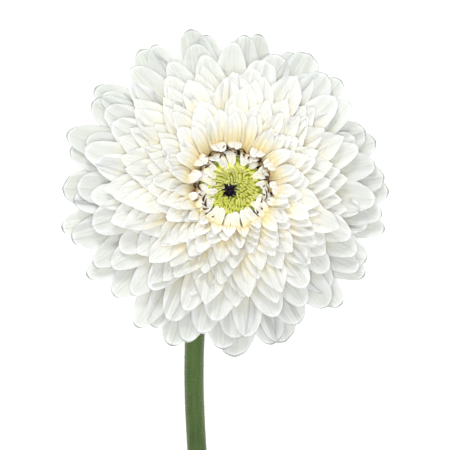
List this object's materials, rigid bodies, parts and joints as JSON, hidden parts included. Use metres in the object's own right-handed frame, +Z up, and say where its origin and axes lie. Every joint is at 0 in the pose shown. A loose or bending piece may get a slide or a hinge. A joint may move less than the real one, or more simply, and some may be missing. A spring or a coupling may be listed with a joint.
{
  "type": "cut gerbera",
  "caption": "Cut double gerbera lying face up: a domed bloom of layered petals with a green centre and dark eye, a green cup and a bare stem.",
  "frame": {"origin": "middle of the flower's footprint on the surface that it lies on", "axes": "+Z up, +Y from the stem's cut end towards the bloom, +X to the bloom's right seen from above"},
  "size_m": [0.1106, 0.3, 0.0515],
  "materials": {
    "white_petal": "fresh white petal, velvety satin, cream at its foot",
    "cream_petal": "fresh cream floret, satin",
    "green_floret": "moist yellow-green bud, satin",
    "dark_floret": "near-black purple bud, matte",
    "green_bract": "green bract with fine down, matte",
    "green_stem": "smooth fresh green stem, satin"
  },
  "bodies": {
    "root": {"ray_florets": "white_petal", "inner_florets": "cream_petal", "disc_florets": "green_floret", "disc_eye": "dark_floret", "involucre": "green_bract", "stem": "green_stem"}
  },
  "joints": []
}
